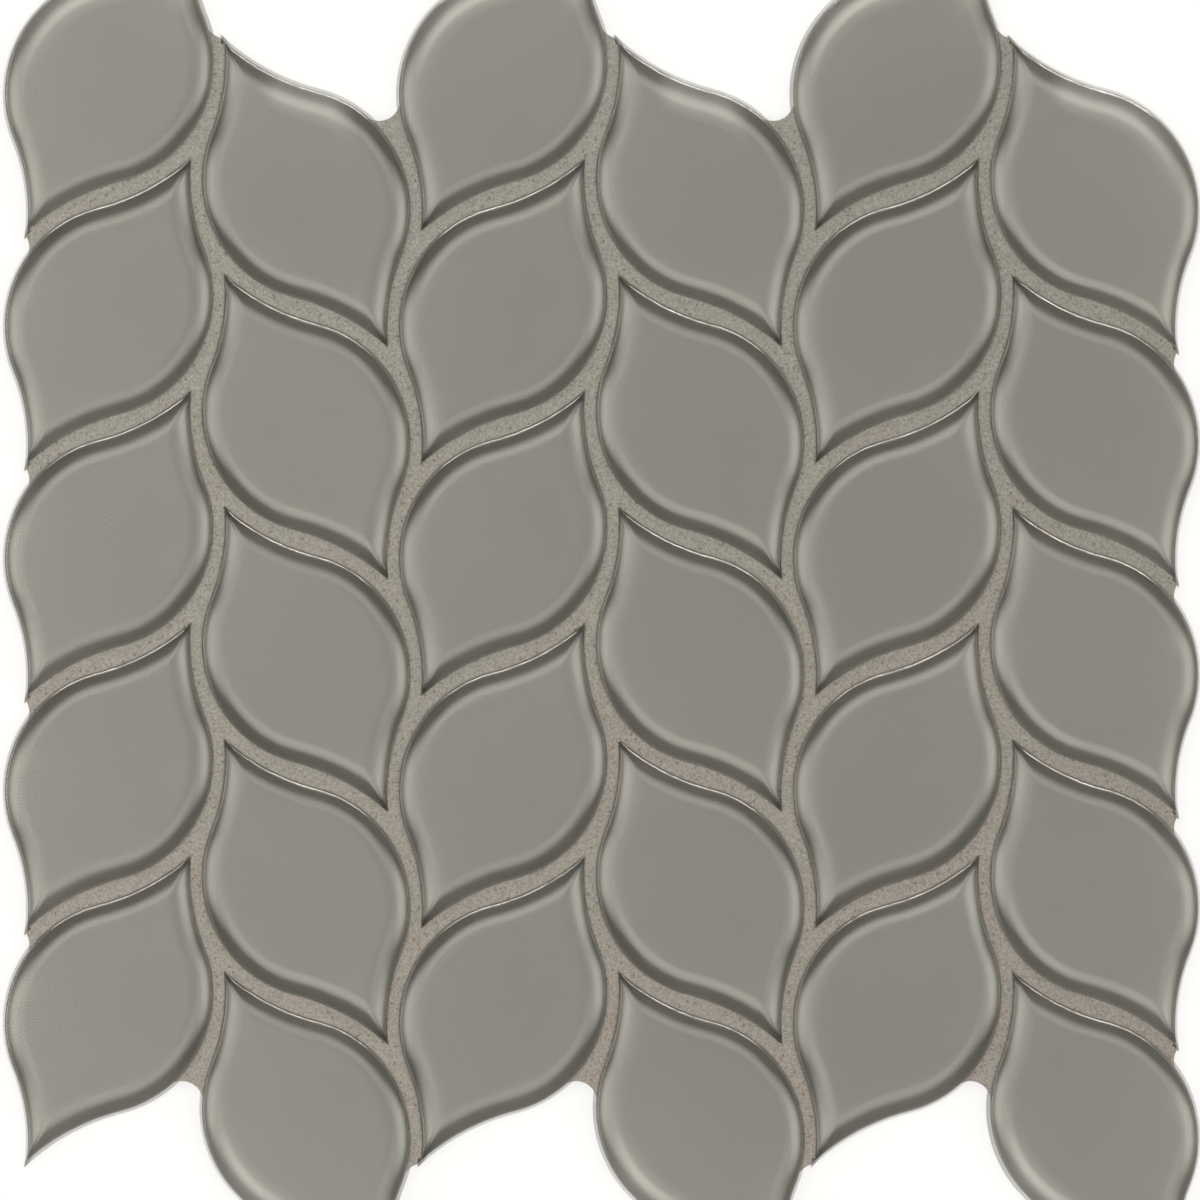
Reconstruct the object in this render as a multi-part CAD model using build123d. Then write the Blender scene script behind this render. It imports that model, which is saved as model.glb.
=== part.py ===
from build123d import *
import math
import os

# A grouted sheet of leaf-shaped glass mosaic tile, lying on its flat back, in millimetres.
# X runs across the columns, Y along them, Z up. The back of the sheet is z = 0.
os.makedirs("parts", exist_ok=True)

# The sheet: columns of leaves, every second column mirrored and dropped by half a row.
COLUMNS = 6
ROWS = 5
COLUMN_JOINT = 2.95
ROW_JOINT = 3.55

# One leaf: its sharp tip, the way the edge leaves the tip, and the arcs of half the outline.
TIP_X = 20.45
TIP_Y = 38.15
TIP_ANGLE = 5.4
FLANK_RADIUS = 48.5
FLANK_ANGLE = 27.5
BELLY_RADIUS = 30.6
BELLY_ANGLE = 97.9

# The glass: flat back, a wall with some draft, then an edge rounded over to the flat top.
GLASS_HEIGHT = 8.0
WALL_DRAFT = 0.8
ROUND_HEIGHT = 2.0
ROUND_WIDTH = 6.0
ROUND_STEPS = 2

# The grout: it stops just below the rounded edge, and ends in hollow curves in the sheet's outer notches.
GROUT_BELOW_ROUND = 0.4
GROUT_END_RADIUS = 4.2
GROUT_END_BITE = 0.2
TOUCH = 0.01

# How often the spacing of two leaves is corrected until the joint between them is as wide as asked.
SPACING_TRIES = 25

wall_height = GLASS_HEIGHT - ROUND_HEIGHT
grout_height = wall_height - GROUT_BELOW_ROUND


def leaf_outline():
    """The outline of one leaf: tangent arcs from tip to tip, and the same again turned half round."""
    tip = Vector(TIP_X, TIP_Y)
    lean = math.radians(TIP_ANGLE)
    leaving = Vector(-math.sin(lean), -math.cos(lean))
    flank = JernArc(start=tip, tangent=leaving, radius=FLANK_RADIUS, arc_size=FLANK_ANGLE)
    belly = JernArc(start=flank @ 1, tangent=flank % 1, radius=BELLY_RADIUS, arc_size=-BELLY_ANGLE)
    keel = TangentArc(belly @ 1, -tip, tangent=belly % 1)
    half = [flank, belly, keel]
    return make_face(half + [Rot(0, 0, 180) * edge for edge in half])


def leaf_solid(outline, foot):
    """One glass leaf: a wall that runs out to the back, then the rounded edge as bevels on inset outlines."""
    rings = [foot.face(), (Pos(0, 0, wall_height) * outline).face()]
    for step in range(1, ROUND_STEPS + 1):
        angle = math.radians(90 * step / ROUND_STEPS)
        inset = ROUND_WIDTH * (1 - math.cos(angle))
        height = wall_height + ROUND_HEIGHT * math.sin(angle)
        ring = offset(outline, -inset, kind=Kind.INTERSECTION)
        rings.append((Pos(0, 0, height) * ring).face())
    return loft(rings, ruled=True)


def spacing(outline, neighbour, direction, joint):
    """How far the neighbour is moved along a direction, from well clear, to leave the joint between the two."""
    distance = 4 * TIP_Y
    for _ in range(SPACING_TRIES):
        place = direction * distance
        distance += joint - outline.distance_to(Pos(place.X, place.Y) * neighbour)
    return distance


def leaf_places():
    """The name, the centre and the hand of every leaf, column by column from the left."""
    places = []
    for column in range(COLUMNS):
        mirrored = column % 2 == 1
        x = (column - (COLUMNS - 1) / 2) * column_pitch
        drop = -row_pitch / 4 if mirrored else row_pitch / 4
        for row in range(ROWS):
            y = ((ROWS - 1) / 2 - row) * row_pitch + drop
            places.append((f"leaf_c{column + 1}_r{row + 1}", x, y, mirrored))
    return places


outline = leaf_outline()
outline_mirrored = mirror(outline, about=Plane.YZ)
foot = offset(outline, WALL_DRAFT, kind=Kind.INTERSECTION)
foot_mirrored = mirror(foot, about=Plane.YZ)
leaf = leaf_solid(outline, foot)
leaf_mirrored = mirror(leaf, about=Plane.YZ)
print("leaf", leaf.bounding_box().size, "volume", round(leaf.volume, 1))

# The pitches follow from the leaf and the joints: down a column first, then to the mirrored column beside it.
row_pitch = spacing(outline, outline, Vector(0, -1), ROW_JOINT)
column_pitch = spacing(outline, Pos(0, -row_pitch / 2) * outline_mirrored, Vector(1, 0), COLUMN_JOINT)
print("row pitch", round(row_pitch, 3), "column pitch", round(column_pitch, 3))

# The grout's ends: the leaves' feet are swelled until they run together, and every outer corner of the one shape
# so made lies as far from two leaves as the end radius. There the grout ends in a hollow curve.
places = leaf_places()
feet = [(Pos(x, y) * (foot_mirrored if mirrored else foot)).face() for name, x, y, mirrored in places]
swelled = offset(foot, GROUT_END_RADIUS, kind=Kind.ARC)
swelled_mirrored = mirror(swelled, about=Plane.YZ)
blobs = [(Pos(x, y) * (swelled_mirrored if mirrored else swelled)).face() for name, x, y, mirrored in places]
rim = blobs[0].fuse(*blobs[1:]).faces().sort_by(SortBy.AREA)[-1].outer_wire()
ends, tips = [], []
end_reach = GROUT_END_RADIUS + TOUCH
for corner in rim.vertices():
    near = [one for one in feet if one.distance_to(corner) < end_reach]
    if len(near) > 1:
        ends.append(corner)
        for one in near:
            tips += [(one, point) for point in one.vertices() if point.distance_to(corner) < end_reach]

# A leaf's bed in the grout is its outline at the top of the wall, and where the grout ends at a leaf's tip,
# the tip of its foot as well.
foot_tip = foot.vertices().sort_by(Axis.Y)[-1]
tip_reach = math.dist((foot_tip.X, foot_tip.Y), (TIP_X, TIP_Y)) + WALL_DRAFT / 2
beds = [(Pos(x, y) * (outline_mirrored if mirrored else outline)).face() for name, x, y, mirrored in places]
beds += [(one & (Pos(point.X, point.Y) * Circle(tip_reach))).face() for one, point in tips]

# The joints: of a wide field with the beds and the hollow ends cut out, the grout is the net between the leaves.
# Raised to its height, it gives way once more to the leaves, whose walls run out towards the back.
field = Rectangle(2 * COLUMNS * column_pitch, 2 * ROWS * row_pitch).face()
end_cut = GROUT_END_RADIUS + WALL_DRAFT + GROUT_END_BITE
hollows = [(Pos(end.X, end.Y) * Circle(end_cut)).face() for end in ends]
joints = field.cut(*beds, *hollows).faces().sort_by(SortBy.AREA)[-2]
leaves = [Pos(x, y, 0) * (leaf_mirrored if mirrored else leaf) for name, x, y, mirrored in places]
grout = extrude(joints, grout_height).cut(*leaves)

# One file for each piece.
for (name, x, y, mirrored), piece in zip(places, leaves):
    piece.label = name
    export_step(piece, f"parts/{name}.step")
grout.label = "grout"
export_step(grout, "parts/grout.step")
print("leaves", len(places), "grout ends", len(ends), "of them at tips", len(tips))
print("grout solids", len(grout.solids()), "volume", round(grout.volume, 1))
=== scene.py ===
# %% [markdown]
# # A sheet of glass leaves
# The object is one sheet of mosaic tile: grey glass leaves in mirrored columns, with sandy grout between
# them. The CAD model comes in as a fixed frame. Each glass leaf is then built again with a smooth rounded
# edge, because real glass is all about how its edge bends the light, and the grout keeps its CAD shape.

# %% Load the frame
import bmesh
import bpy
import math
from mathutils import Matrix, Vector
from mathutils.kdtree import KDTree


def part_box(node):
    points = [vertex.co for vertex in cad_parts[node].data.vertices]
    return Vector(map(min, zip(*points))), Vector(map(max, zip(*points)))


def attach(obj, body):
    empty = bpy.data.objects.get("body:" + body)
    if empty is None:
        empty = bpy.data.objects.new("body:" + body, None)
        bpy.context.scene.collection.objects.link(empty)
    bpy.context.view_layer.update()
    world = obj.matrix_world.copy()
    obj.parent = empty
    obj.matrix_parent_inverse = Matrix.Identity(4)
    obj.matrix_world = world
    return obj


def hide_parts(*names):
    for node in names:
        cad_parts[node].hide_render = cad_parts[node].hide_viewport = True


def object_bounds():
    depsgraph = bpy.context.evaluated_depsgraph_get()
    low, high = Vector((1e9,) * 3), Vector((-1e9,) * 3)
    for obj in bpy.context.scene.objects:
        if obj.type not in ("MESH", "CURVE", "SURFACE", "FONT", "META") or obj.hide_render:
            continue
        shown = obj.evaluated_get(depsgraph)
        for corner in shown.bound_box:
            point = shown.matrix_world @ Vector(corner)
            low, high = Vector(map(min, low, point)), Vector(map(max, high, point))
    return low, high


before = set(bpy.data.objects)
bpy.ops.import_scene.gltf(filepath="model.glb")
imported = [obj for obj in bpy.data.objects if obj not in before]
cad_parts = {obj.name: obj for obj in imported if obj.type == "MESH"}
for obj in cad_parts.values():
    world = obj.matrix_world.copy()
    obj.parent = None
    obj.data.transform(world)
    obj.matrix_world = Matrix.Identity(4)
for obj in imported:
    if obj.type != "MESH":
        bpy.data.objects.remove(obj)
cad_low, cad_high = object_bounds()
leaf_nodes = sorted(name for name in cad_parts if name.startswith("leaf_"))
print("leaves", len(leaf_nodes), "CAD box", cad_low, cad_high)

# %% [markdown]
# Blender works in metres here, and the leaf is easier to read in millimetres, so one factor turns one
# into the other. Colours are picked as sRGB hex values, the way a colour picker shows them, and shaders
# want linear light. One small function adds any shader node with its settings and links, so that each
# finish below stays short. A Mix node has sockets for several kinds of data, so its two colours and their
# mix go by number.

# %% Units, colours and nodes
MM = 0.001
COLOUR_A, COLOUR_B, MIXED = 6, 7, 2


def linear(code):
    """An sRGB hex colour as the linear colour that a shader socket takes."""
    parts = [int(code[i:i + 2], 16) / 255 for i in (1, 3, 5)]
    return [c / 12.92 if c <= 0.04045 else ((c + 0.055) / 1.055) ** 2.4 for c in parts] + [1.0]


def add(tree, kind, links=None, **settings):
    """A new node: settings are its properties, and links fill its inputs with values or other outputs."""
    node = tree.nodes.new(kind)
    for name, value in settings.items():
        setattr(node, name, value)
    for key, value in (links or {}).items():
        if isinstance(value, bpy.types.NodeSocket):
            tree.links.new(value, node.inputs[key])
        else:
            node.inputs[key].default_value = value
    return node


def new_material(name):
    """An empty node material, and its tree."""
    material = bpy.data.materials.new(name)
    material.use_nodes = True
    material.node_tree.nodes.clear()
    return material, material.node_tree


print("middle grey in linear light", round(linear("#808080")[0], 3))

# %% [markdown]
# A leaf's outline is three arcs that flow into each other, and the same three again turned half round: a
# hollow flank below the sharp tip, the full belly, and a hollow keel that runs out to the other tip. The
# sizes are the CAD model's. The keel's radius isn't given: it is the one arc that leaves the belly
# smoothly and ends at the other tip.

# %% The arcs of a leaf
TIP = Vector((20.45, 38.15)) * MM
TIP_ANGLE = math.radians(5.4)
FLANK_RADIUS = 48.5 * MM
FLANK_ANGLE = math.radians(27.5)
BELLY_RADIUS = 30.6 * MM
BELLY_ANGLE = math.radians(97.9)


def turned(vector, angle):
    """A flat vector turned to the left."""
    return Matrix.Rotation(angle, 2) @ vector


heading = Vector((-math.sin(TIP_ANGLE), -math.cos(TIP_ANGLE)))
flank_centre = TIP + turned(heading, math.pi / 2) * FLANK_RADIUS
flank_end = flank_centre + turned(TIP - flank_centre, FLANK_ANGLE)
to_belly = (flank_end - flank_centre).normalized()
belly_centre = flank_end + to_belly * BELLY_RADIUS
belly_end = belly_centre + turned(flank_end - belly_centre, -BELLY_ANGLE)
to_keel = (belly_end - belly_centre).normalized()
chord = -TIP - belly_end
keel_radius = chord.length_squared / (2 * chord.dot(to_keel))
keel_centre = belly_end + to_keel * keel_radius
print("keel radius mm", round(keel_radius / MM, 2))

# %% [markdown]
# An outline set in from the edge has the same arc centres: the hollow arcs' radii grow, the belly's
# shrinks, and the tip slides back to where flank and keel now cross. It is drawn with the spin operator,
# which drags one vertex round a centre and leaves edges behind it. Three spins make half the outline,
# from tip to tip. Every such line has the same number of points, so bridge_loops can join one to the next
# with clean quads, all the way up the rounded edge.

# %% Half an outline
FLANK_STEPS, BELLY_STEPS, KEEL_STEPS = 12, 34, 12


def set_in_tip(inset):
    """The upper tip of the outline set in by a distance: where its flank meets the other half's keel."""
    flank = FLANK_RADIUS + inset
    keel = keel_radius + inset
    between = -keel_centre - flank_centre
    along = (between.length_squared + flank ** 2 - keel ** 2) / (2 * between.length)
    beside = math.sqrt(flank ** 2 - along ** 2)
    way = between.normalized()
    turns = (math.pi / 2, -math.pi / 2)
    corners = [flank_centre + way * along + turned(way, turn) * beside for turn in turns]
    return min(corners, key=lambda corner: (corner - TIP).length)


def half_outline(bm, inset, height):
    """The edges from the upper tip down the right side to the lower tip, set in, at a height."""
    tip = set_in_tip(inset)
    arcs = (
        (flank_centre, (flank_end - flank_centre).angle_signed(tip - flank_centre), FLANK_STEPS),
        (belly_centre, -BELLY_ANGLE, BELLY_STEPS),
        (keel_centre, (-tip - keel_centre).angle_signed(belly_end - keel_centre), KEEL_STEPS),
    )
    before = set(bm.edges)
    last = bm.verts.new((tip.x, tip.y, height))
    for centre, angle, steps in arcs:
        middle = (centre.x, centre.y, height)
        made = bmesh.ops.spin(bm, geom=[last], cent=middle, axis=(0, 0, 1), angle=angle, steps=steps)
        last = [part for part in made["geom_last"] if isinstance(part, bmesh.types.BMVert)][0]
    return [edge for edge in bm.edges if edge not in before]


print("edges in half an outline", FLANK_STEPS + BELLY_STEPS + KEEL_STEPS)

# %% [markdown]
# The real leaf is pressed glass: a flat back, a wall with the draft that lets it leave its mould, and a
# top edge that rounds over to a flat face. A bevel can't round this outline, because its cuts would cross
# near the sharp tips. Outlines set in step by step along a quarter ellipse meet there in a clean mitre
# instead. One more on the flat keeps the shading of the flat face level.
# The back has a few outlines of its own. They carry a number, the painted edge light, that says how much
# lighter the coat of paint is drawn there, as light through a bare edge would make it: most at 3 to 5 mm
# from the edge, and nothing at the edge itself or beyond 8.5 mm.

# %% Lines of the leaf
GLASS_HEIGHT = 8.0 * MM
WALL_DRAFT = 0.8 * MM
ROUND_HEIGHT = 2.0 * MM
ROUND_WIDTH = 6.0 * MM
ROUND_STEPS = 16
FLAT_MARGIN = 1.5 * MM
WALL_HEIGHT = GLASS_HEIGHT - ROUND_HEIGHT
# The name of the painted edge light on the back's points, and where on the back it lies and how strong.
PAINTED_LIGHT_LAYER = "painted_light"
BACK_INSETS_MM = (8.5, 6.2, 5.0, 3.4, 2.2, 1.0)
BACK_PAINTED_LIGHT = (0.0, 0.35, 0.9, 1.0, 0.55, 0.1)


def back_lines(bm):
    """Half outlines on the back, from the inmost out, each with its share of painted edge light on its
    points.
    """
    layer = bm.verts.layers.float.new(PAINTED_LIGHT_LAYER)
    lines = []
    for inset, painted_light in zip(BACK_INSETS_MM, BACK_PAINTED_LIGHT):
        lines.append(half_outline(bm, inset * MM, 0))
        for vert in {vert for edge in lines[-1] for vert in edge.verts}:
            vert[layer] = painted_light
    return lines


def leaf_lines(bm):
    """Half outlines out along the back, up the wall, over the rounded edge and onto the flat."""
    lines = back_lines(bm) + [half_outline(bm, -WALL_DRAFT, 0), half_outline(bm, 0, WALL_HEIGHT)]
    for step in range(1, ROUND_STEPS + 1):
        angle = math.pi / 2 * step / ROUND_STEPS
        inset = ROUND_WIDTH * (1 - math.cos(angle))
        lines.append(half_outline(bm, inset, WALL_HEIGHT + ROUND_HEIGHT * math.sin(angle)))
    lines.append(half_outline(bm, ROUND_WIDTH + FLAT_MARGIN, GLASS_HEIGHT))
    return lines


print("lines on the back", len(BACK_INSETS_MM), "and on the rounded edge", ROUND_STEPS)

# %% [markdown]
# Half the skin is bridged from line to line, a copy is turned half round and merged to it, and two faces
# close the top and the back. The back gets the second material slot, for the coat of paint behind the
# glass. The edge round it, the leaf's foot, is marked sharp, and all the rest is smooth.

# %% The glass leaf
MERGE = 0.005 * MM


def leaf_skin():
    """One closed leaf about its own centre."""
    bm = bmesh.new()
    lines = leaf_lines(bm)
    for low, high in zip(lines, lines[1:]):
        bmesh.ops.bridge_loops(bm, edges=low + high)
    made = bmesh.ops.duplicate(bm, geom=bm.verts[:] + bm.edges[:] + bm.faces[:])
    copied = [part for part in made["geom"] if isinstance(part, bmesh.types.BMVert)]
    bmesh.ops.rotate(bm, verts=copied, cent=(0, 0, 0), matrix=Matrix.Rotation(math.pi, 3, "Z"))
    bmesh.ops.remove_doubles(bm, verts=bm.verts, dist=MERGE)
    rims = [edge for edge in bm.edges if edge.is_boundary]
    below = [edge for edge in rims if edge.verts[0].co.z < MERGE]
    bmesh.ops.contextual_create(bm, geom=below)
    bmesh.ops.contextual_create(bm, geom=[edge for edge in rims if edge not in below])
    bmesh.ops.recalc_face_normals(bm, faces=bm.faces)
    return bm


def mark_back(bm):
    """Material 1 on the back, and a sharp edge round it."""
    for face in bm.faces:
        face.smooth = True
        face.material_index = int(max(vert.co.z for vert in face.verts) < MERGE)
    for edge in bm.edges:
        edge.smooth = edge.link_faces[0].material_index == edge.link_faces[1].material_index


leaf = leaf_skin()
mark_back(leaf)
print("leaf faces", len(leaf.faces), "open edges", sum(1 for edge in leaf.edges if not edge.is_manifold))
print("leaf volume mm3", round(leaf.calc_volume() / MM ** 3, 1))

# %% [markdown]
# The glass is clear, pressed and fire-polished: colourless and smooth, with a faint waviness from the
# mould that only shows when something sharp is mirrored in it at a low angle.

# %% Clear pressed glass
WAVE_MM = 14.0
WAVE_HEIGHT = 0.02 * MM


def clear_glass():
    """Colourless pressed glass with a faint mould wave."""
    material, tree = new_material("clear_pressed_glass")
    place = add(tree, "ShaderNodeTexCoord").outputs["Object"]
    wave = add(tree, "ShaderNodeTexNoise", {"Vector": place, "Scale": 1 / (WAVE_MM * MM), "Detail": 1.0})
    bump = add(tree, "ShaderNodeBump", {
        "Height": wave.outputs["Fac"], "Strength": 1.0, "Distance": WAVE_HEIGHT})
    glass = add(tree, "ShaderNodeBsdfPrincipled", {
        "Base Color": linear("#FBFBF8"), "Roughness": 0.0, "IOR": 1.58, "Transmission Weight": 1.0,
        "Normal": bump.outputs["Normal"]})
    add(tree, "ShaderNodeOutputMaterial", {"Surface": glass.outputs[0]})
    return material


glass = clear_glass()
print("material", glass.name, "nodes", len(glass.node_tree.nodes))

# %% [markdown]
# The grey is not in the glass but behind it: a coat of warm grey paint on the flat back, seen through the
# leaf. It is sprayed and dull, a little darker in one place than in another, and has no gloss of its own,
# because it clings to the glass. Near the bare edges a painted light is mixed in: where that number is 1
# the coat is drawn much lighter.

# %% Painted back, with painted edge light
CLOUD_MM = 70.0


def back_paint_and_painted_light():
    """Dull warm grey paint on the back of the glass, with painted edge light mixed in near bare edges."""
    material, tree = new_material("grey_back_paint_and_painted_light")
    place = add(tree, "ShaderNodeTexCoord").outputs["Object"]
    cloud = add(tree, "ShaderNodeTexNoise", {"Vector": place, "Scale": 1 / (CLOUD_MM * MM), "Detail": 3.0})
    tone = add(tree, "ShaderNodeMix", {
        "Factor": cloud.outputs["Fac"], COLOUR_A: linear("#7B7B78"), COLOUR_B: linear("#8D8D8A")},
        data_type="RGBA")
    # Painted light: near bare edges the coat's colour is mixed towards a light grey.
    painted_light = add(tree, "ShaderNodeAttribute", attribute_name=PAINTED_LIGHT_LAYER)
    edge_lit = add(tree, "ShaderNodeMix", {
        "Factor": painted_light.outputs["Fac"], COLOUR_A: tone.outputs[MIXED], COLOUR_B: linear("#BEC0C0")},
        data_type="RGBA")
    paint = add(tree, "ShaderNodeBsdfPrincipled", {
        "Base Color": edge_lit.outputs[MIXED], "Roughness": 0.7, "Specular IOR Level": 0.0})
    add(tree, "ShaderNodeOutputMaterial", {"Surface": paint.outputs[0]})
    return material


paint = back_paint_and_painted_light()
print("material", paint.name, "nodes", len(paint.node_tree.nodes))

# %% [markdown]
# The CAD model says where each leaf lies: the middle of its box is the leaf's centre. The columns
# alternate, so the number of the column, which is in the node's name, says whether a leaf is mirrored.

# %% Where the leaves lie


def hand(node):
    """Minus one for the mirrored leaves of every second column, one for the others."""
    column = int(node.split("_")[1][1:])
    return -1 if column % 2 == 0 else 1


def centre(node):
    """The middle of a leaf's foot."""
    low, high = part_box(node)
    return Vector(((low[0] + high[0]) / 2, (low[1] + high[1]) / 2, low[2]))


centres = [centre(node) for node in leaf_nodes]
print("first leaf's centre mm", [round(part / MM, 2) for part in centres[0]])

# %% [markdown]
# Between two leaves the grout hides the wall of the glass. Along the sheet's free edges the wall is bare
# and light comes in through it. That light is painted into the coat behind as a pale band a few
# millimetres in, most of all on the upper edges, and on the lower left of the mirrored leaves, where the
# belly gathers the light.
# To find those edges, the feet of all leaves go into a search tree: a point of the back is near a free
# edge when no other leaf's foot is close to it.

# %% Free edges
# How bare an edge is and which way it faces set the strength of the painted edge light.
CLOSE_MM, CLEAR_MM = 11.0, 16.0
BELLY_GAIN = 1.6
foot_points = [vert.co.copy() for vert in leaf.verts if not all(edge.smooth for edge in vert.link_edges)]
feet = KDTree(len(leaf_nodes) * len(foot_points))
for number, node in enumerate(leaf_nodes):
    for index, point in enumerate(foot_points):
        own = Vector((point.x * hand(node), point.y, point.z))
        feet.insert(centres[number] + own, number * len(foot_points) + index)
feet.balance()


def painted_edge_light(point, number):
    """How much painted edge light the coat gets near this point of a leaf's back, from 0 to 1."""
    away = feet.find(point, filter=lambda index: index // len(foot_points) != number)[2]
    clear = min(max((away / MM - CLOSE_MM) / (CLEAR_MM - CLOSE_MM), 0), 1)
    side = (point - centres[number]).normalized()
    upper = max(side.y, 0)
    lower_left = max(-side.y, 0) * max(-side.x, 0) if hand(leaf_nodes[number]) < 0 else 0
    return clear * (upper + BELLY_GAIN * lower_left)


print("points of one foot", len(foot_points), "of all feet", len(leaf_nodes) * len(foot_points))

# %% [markdown]
# Each CAD leaf gets its glass twin. The twin is a copy of the one leaf, mirrored in every second column,
# and its place is put into its mesh, so that the object itself stays at the origin like the CAD's own
# objects.

# %% Lay the leaves


def lay_leaf(node, number):
    """The glass leaf that stands for one CAD leaf."""
    bm = leaf.copy()
    if hand(node) < 0:
        bmesh.ops.scale(bm, vec=(-1, 1, 1), verts=bm.verts)
        bmesh.ops.reverse_faces(bm, faces=bm.faces)
    bmesh.ops.translate(bm, vec=centres[number], verts=bm.verts)
    # The painted edge light on the back is scaled by how bare the edge beside it is.
    layer = bm.verts.layers.float[PAINTED_LIGHT_LAYER]
    for vert in bm.verts:
        if vert[layer] > 0:
            vert[layer] *= painted_edge_light(vert.co, number)
    mesh = bpy.data.meshes.new("glass_" + node)
    bm.to_mesh(mesh)
    bm.free()
    mesh.materials.append(glass)
    mesh.materials.append(paint)
    piece = bpy.data.objects.new("glass_" + node, mesh)
    bpy.context.collection.objects.link(piece)
    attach(piece, "root")
    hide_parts(node)
    return piece


leaves = [lay_leaf(node, number) for number, node in enumerate(leaf_nodes)]
leaf.free()
print("glass leaves", len(leaves), "faces each", len(leaves[0].data.polygons))

# %% [markdown]
# The grout is sanded cement, trowelled in and wiped. It keeps its CAD shape, and its look is all in the
# finish. First its slow colour: a change from greenish to pinkish grey down the sheet, with a drift in
# it, and a painted shade that makes it a little darker from left to right.

# %% Colour of the cement, and a painted shade
DRIFT_MM = 60.0
# Painted light and shade: the grout colour is scaled up on the left and down on the right.
LEFT_PAINTED_LIGHT, RIGHT_PAINTED_SHADE = 1.08, 0.92


def cement_colour_and_painted_shade(tree, place):
    """The slow change of grey over the sheet, with a painted shade that darkens it from left to right."""
    at = add(tree, "ShaderNodeSeparateXYZ", {"Vector": place}).outputs
    drift = add(tree, "ShaderNodeTexNoise", {"Vector": place, "Scale": 1 / (DRIFT_MM * MM), "Detail": 2.0})
    down = add(tree, "ShaderNodeMapRange", {
        "Value": at["Y"], "From Min": cad_high[1], "From Max": cad_low[1], "To Min": -0.5, "To Max": 0.5})
    shift = add(tree, "ShaderNodeMath", {
        0: down.outputs[0], 1: drift.outputs["Fac"]}, operation="ADD", use_clamp=True)
    ground = add(tree, "ShaderNodeMix", {
        "Factor": shift.outputs[0], COLOUR_A: linear("#898B86"), COLOUR_B: linear("#908A86")},
        data_type="RGBA")
    # Painted shade: the colour is multiplied by a factor that falls from left to right.
    painted_falloff = add(tree, "ShaderNodeMapRange", {
        "Value": at["X"], "From Min": cad_low[0], "From Max": cad_high[0],
        "To Min": LEFT_PAINTED_LIGHT, "To Max": RIGHT_PAINTED_SHADE})
    shaded = add(tree, "ShaderNodeMix", {
        "Factor": 1.0, COLOUR_A: ground.outputs[MIXED], COLOUR_B: painted_falloff.outputs[0]},
        data_type="RGBA", blend_type="MULTIPLY")
    return shaded.outputs[MIXED]


print("cement drift mm", DRIFT_MM)

# %% [markdown]
# Then the sand in it: fine grit that stands proud, light and dark grains, and a few brown specks.

# %% Sanded grout
GRIT_MM = 0.45
GRIT_HEIGHT = 0.25 * MM
DARK_GRAIN, LIGHT_GRAIN = 0.6, 1.4
SPECK_MM = 2.0
SPECK_CORE, SPECK_EDGE = 0.10, 0.22
SPECK_SHARE = 0.7


def sanded_grout():
    """Sanded cement grout, dull and grainy."""
    material, tree = new_material("sanded_cement_grout")
    place = add(tree, "ShaderNodeTexCoord").outputs["Object"]
    grit = add(tree, "ShaderNodeTexNoise", {
        "Vector": place, "Scale": 1 / (GRIT_MM * MM), "Detail": 3.0, "Roughness": 0.75})
    grains = add(tree, "ShaderNodeMapRange", {
        "Value": grit.outputs["Fac"], "From Min": 0.3, "From Max": 0.7,
        "To Min": DARK_GRAIN, "To Max": LIGHT_GRAIN})
    grained = add(tree, "ShaderNodeMix", {
        "Factor": 1.0, COLOUR_A: cement_colour_and_painted_shade(tree, place), COLOUR_B: grains.outputs[0]},
        data_type="RGBA", blend_type="MULTIPLY")
    spots = add(tree, "ShaderNodeTexVoronoi", {"Vector": place, "Scale": 1 / (SPECK_MM * MM)})
    spot = add(tree, "ShaderNodeMapRange", {
        "Value": spots.outputs["Distance"], "From Min": SPECK_CORE, "From Max": SPECK_EDGE,
        "To Min": SPECK_SHARE, "To Max": 0.0})
    specked = add(tree, "ShaderNodeMix", {
        "Factor": spot.outputs[0], COLOUR_A: grained.outputs[MIXED], COLOUR_B: linear("#6A5850")},
        data_type="RGBA")
    bump = add(tree, "ShaderNodeBump", {
        "Height": grit.outputs["Fac"], "Strength": 0.6, "Distance": GRIT_HEIGHT})
    cement = add(tree, "ShaderNodeBsdfPrincipled", {
        "Base Color": specked.outputs[MIXED], "Roughness": 0.9, "Specular IOR Level": 0.2,
        "Normal": bump.outputs["Normal"]})
    add(tree, "ShaderNodeOutputMaterial", {"Surface": cement.outputs[0]})
    return material


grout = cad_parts["grout"]
grout.data.materials.clear()
grout.data.materials.append(sanded_grout())
print("grout slots", len(grout.material_slots))

# %% [markdown]
# The sheet lies on a white table. A table lit like the sheet would come out grey, so part of its white is
# a glow for rays that look at it, from the camera or by way of the glass. The rest is matt and keeps a
# trace of the sheet's shadow.

# %% Floor
FLOOR_SIZE = 6.0
FLOOR_DROP = 0.1 * MM
FLOOR_GLOW = 0.7


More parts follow.
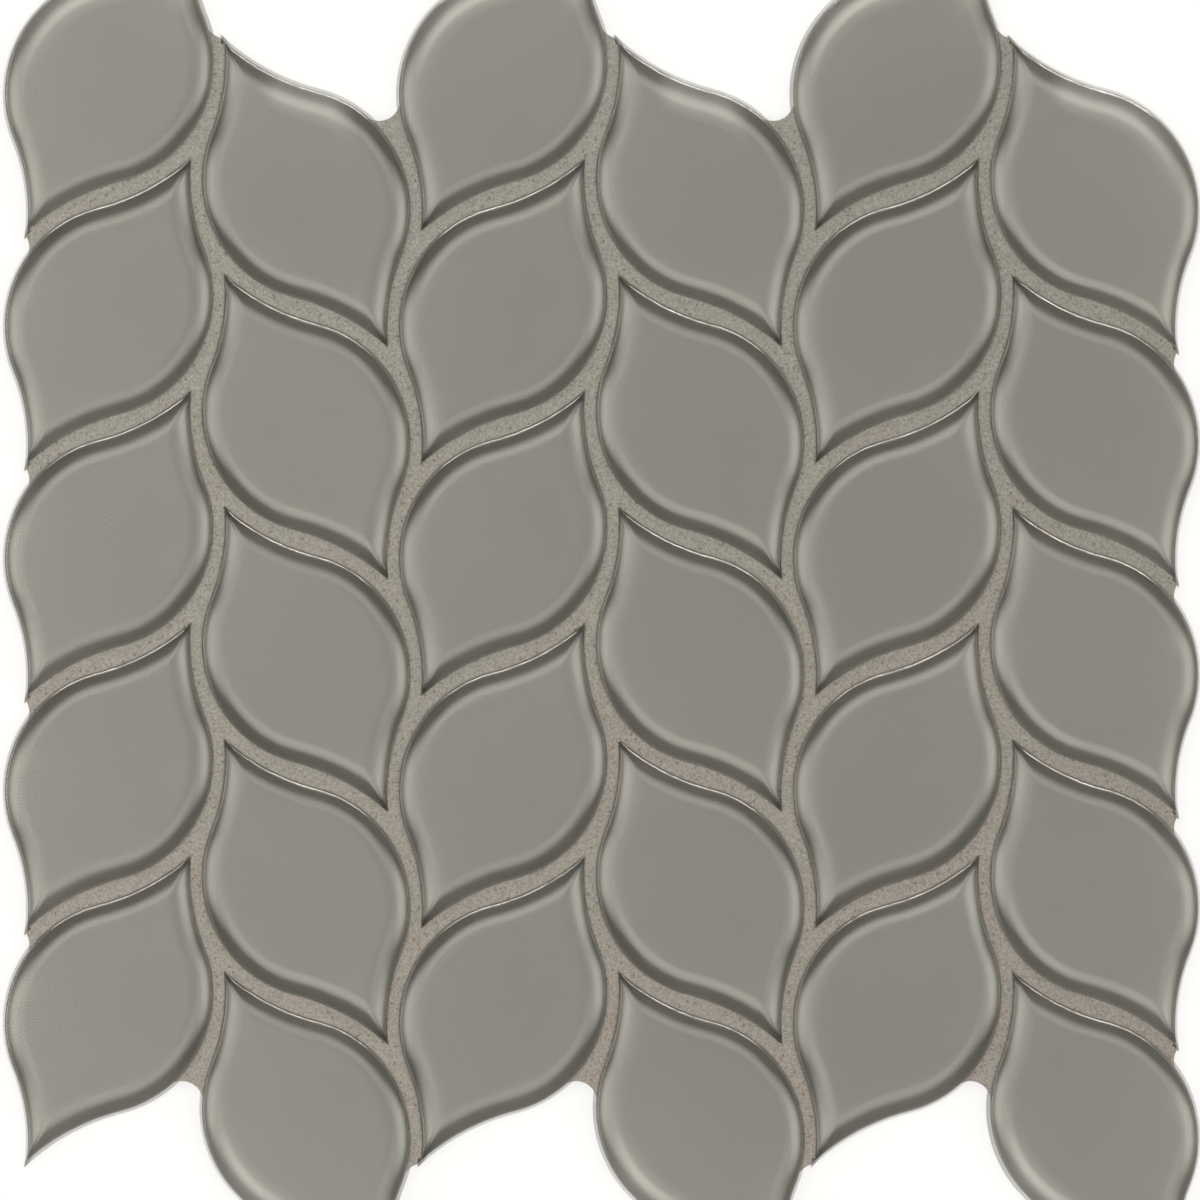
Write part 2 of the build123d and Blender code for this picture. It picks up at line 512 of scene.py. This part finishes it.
def white_floor():
    """A white table that keeps a light shadow."""
    material, tree = new_material("white_table")
    path = add(tree, "ShaderNodeLightPath")
    seen = add(tree, "ShaderNodeMath", {
        0: path.outputs["Is Camera Ray"], 1: path.outputs["Is Glossy Ray"]}, operation="MAXIMUM")
    looked = add(tree, "ShaderNodeMath", {
        0: seen.outputs[0], 1: path.outputs["Is Transmission Ray"]}, operation="MAXIMUM")
    share = add(tree, "ShaderNodeMath", {0: looked.outputs[0], 1: FLOOR_GLOW}, operation="MULTIPLY")
    matt = add(tree, "ShaderNodeBsdfDiffuse", {"Color": linear("#F9F9F9")})
    glow = add(tree, "ShaderNodeEmission", {"Color": linear("#FFFFFF"), "Strength": 1.0})
    mix = add(tree, "ShaderNodeMixShader", {0: share.outputs[0], 1: matt.outputs[0], 2: glow.outputs[0]})
    add(tree, "ShaderNodeOutputMaterial", {"Surface": mix.outputs[0]})
    return material


bm = bmesh.new()
bmesh.ops.create_grid(bm, x_segments=1, y_segments=1, size=FLOOR_SIZE / 2)
bmesh.ops.translate(bm, vec=(0, 0, cad_low[2] - FLOOR_DROP), verts=bm.verts)
floor_mesh = bpy.data.meshes.new("table")
bm.to_mesh(floor_mesh)
bm.free()
floor_mesh.materials.append(white_floor())
floor = bpy.data.objects.new("table", floor_mesh)
bpy.context.collection.objects.link(floor)
print("floor at", cad_low[2] - FLOOR_DROP)

# %% [markdown]
# Glass shows the room around it, so the light is drawn with care. The sky is a sum of patches with soft
# edges. A patch is a product of smooth steps, and each step follows one measure of the direction that a
# ray looks in: how far it points to the right, to the far side or up, from -1 to 1, or how far to either
# side. A patch can also lie within another one.

# %% Sky
world = bpy.data.worlds.new("soft_studio")
bpy.context.scene.world = world
world.use_nodes = True
sky = world.node_tree
sky.nodes.clear()
direction = add(sky, "ShaderNodeTexCoord").outputs["Generated"]
measures = add(sky, "ShaderNodeSeparateXYZ", {"Vector": direction}).outputs
right, far, up = measures["X"], measures["Y"], measures["Z"]
off_x = add(sky, "ShaderNodeMath", {0: right}, operation="ABSOLUTE").outputs[0]
off_y = add(sky, "ShaderNodeMath", {0: far}, operation="ABSOLUTE").outputs[0]


def patch(*steps, within=1.0):
    """A patch of light: a product of steps, each a measure, its start and end, and its two levels."""
    level = within
    for measure, start, end, first, last in steps:
        step = add(sky, "ShaderNodeMapRange", {
            "Value": measure, "From Min": start, "From Max": end, "To Min": first, "To Max": last},
            interpolation_type="SMOOTHSTEP")
        level = add(sky, "ShaderNodeMath", {0: level, 1: step.outputs[0]}, operation="MULTIPLY").outputs[0]
    return level


print("world", world.name)

# %% [markdown]
# A long soft box hangs above, from left to right: a round hub, which the flat faces mirror, and an arm to
# each side. The hub is a little dimmer round a gap in its middle, where the camera looks through, and it
# is brighter on the left than on the right.

# %% Soft box
HUB_LEVEL, GAP_LEVEL, ARM_LEVEL = 3.8, 2.65, 5.7
LEFT_SHARE, RIGHT_SHARE = 1.2, 0.93
GAP_SHAPE = (0.4, 1.0, 0.0)
GAP_SHIFT = (-0.008, -0.01, 0.0)
flat_way = add(sky, "ShaderNodeVectorMath", {0: direction, 1: (1.0, 1.0, 0.0)}, operation="MULTIPLY")
from_top = add(sky, "ShaderNodeVectorMath", {0: flat_way.outputs[0]}, operation="LENGTH").outputs["Value"]
gap_way = add(sky, "ShaderNodeVectorMath", {
    0: direction, 1: GAP_SHAPE, 2: GAP_SHIFT}, operation="MULTIPLY_ADD")
from_gap = add(sky, "ShaderNodeVectorMath", {0: gap_way.outputs[0]}, operation="LENGTH").outputs["Value"]
above_horizon = patch((up, 0.0, 0.05, 0.0, 1.0))
hub = patch(
    (from_gap, 0.05, 0.13, GAP_LEVEL, HUB_LEVEL),
    (from_top, 0.20, 0.48, 1.0, 0.0),
    (right, -0.05, 0.03, LEFT_SHARE, RIGHT_SHARE),
    within=above_horizon)
arms = patch(
    (off_x, 0.22, 0.48, 0.0, ARM_LEVEL),
    (off_x, 0.52, 1.0, 1.0, 0.0),
    (off_y, 0.05, 0.30, 1.0, 0.0),
    within=above_horizon)
print("soft box levels", HUB_LEVEL, GAP_LEVEL, ARM_LEVEL)

# %% [markdown]
# Beyond the soft box the room is dark, so the rounded edges that face up and down the sheet go dark.
# Lower down it is lighter all round, and lightest at the far side and on the left. Just above the horizon
# it is dark once more, so that the flat faces don't turn white when someone looks along the sheet.

# %% Room
ROOM_LEVEL, WALL_LEVEL = 1.0, 2.0
DARK = 0.12
horizon_dip = patch((up, 0.03, 0.16, DARK, 1.0))
room = patch((up, 0.45, 0.15, DARK, ROOM_LEVEL), within=horizon_dip)
far_wall = patch((far, 0.70, 0.92, 0.0, WALL_LEVEL), within=horizon_dip)
left_wall = patch((right, -0.80, -0.96, 0.0, WALL_LEVEL), within=horizon_dip)
print("room levels", ROOM_LEVEL, WALL_LEVEL)

# %% [markdown]
# Two narrow strip lights low at the far side, with a faint glow beside them, draw the thin white glints
# on the upper edges. They are there to be mirrored only. Rays that go on through the glass count as
# glossy too, so those are taken off again.

# %% Strip lights
STRIP_LEVEL, FAINT_LEVEL = 24.0, 3.0
path = add(sky, "ShaderNodeLightPath").outputs
mirrored = add(sky, "ShaderNodeMath", {
    0: path["Is Glossy Ray"], 1: path["Is Transmission Ray"]}, operation="SUBTRACT").outputs[0]
belt = patch((up, 0.11, 0.15, 0.0, 1.0), (up, 0.23, 0.28, 1.0, 0.0), (mirrored, 0.0, 1.0, 0.0, 1.0))
strips = patch(
    (off_x, 0.14, 0.28, 0.0, STRIP_LEVEL),
    (off_x, 0.58, 0.68, 1.0, 0.0),
    (far, 0.0, 0.3, 0.0, 1.0),
    within=belt)
faint = patch((far, -0.3, 0.0, 0.0, FAINT_LEVEL), within=belt)
print("strip light levels", STRIP_LEVEL, FAINT_LEVEL)

# %% [markdown]
# The patches are added up and get the slightly warm colour of the lamps. Where the camera itself looks
# past the table, it sees plain white.

# %% World
patches = (hub, arms, room, far_wall, left_wall, strips, faint)
light = patches[0]
for one in patches[1:]:
    light = add(sky, "ShaderNodeMath", {0: light, 1: one}, operation="ADD").outputs[0]
studio = add(sky, "ShaderNodeBackground", {"Color": linear("#FFFAEF"), "Strength": light})
white = add(sky, "ShaderNodeBackground", {"Color": linear("#FFFFFF"), "Strength": 1.0})
shown = add(sky, "ShaderNodeMixShader", {
    0: path["Is Camera Ray"], 1: studio.outputs[0], 2: white.outputs[0]})
add(sky, "ShaderNodeOutputWorld", {"Surface": shown.outputs[0]})
print("patches of light", len(patches), "sky nodes", len(sky.nodes))

# %% [markdown]
# The camera hangs straight above the sheet, as on a copy stand, far enough away that the walls of the
# leaves hardly show. Its frame is as wide as the picture's near the top of those walls.

# %% Camera
FRAME_WIDTH = 300 * MM
CAMERA_HEIGHT = 3.0
EDGE_HEIGHT = 5 * MM
SENSOR_WIDTH = 36.0
CAMERA_X, CAMERA_Y = -0.4 * MM, 0.25 * MM
camera_data = bpy.data.cameras.new("camera")
camera_data.sensor_width = SENSOR_WIDTH
camera_data.lens = SENSOR_WIDTH * (CAMERA_HEIGHT - EDGE_HEIGHT) / FRAME_WIDTH
camera = bpy.data.objects.new("camera", camera_data)
camera.location = (CAMERA_X, CAMERA_Y, CAMERA_HEIGHT)
bpy.context.collection.objects.link(camera)
scene = bpy.context.scene
scene.camera = camera
scene.view_settings.view_transform = "Standard"
print("lens mm", round(camera_data.lens, 1))
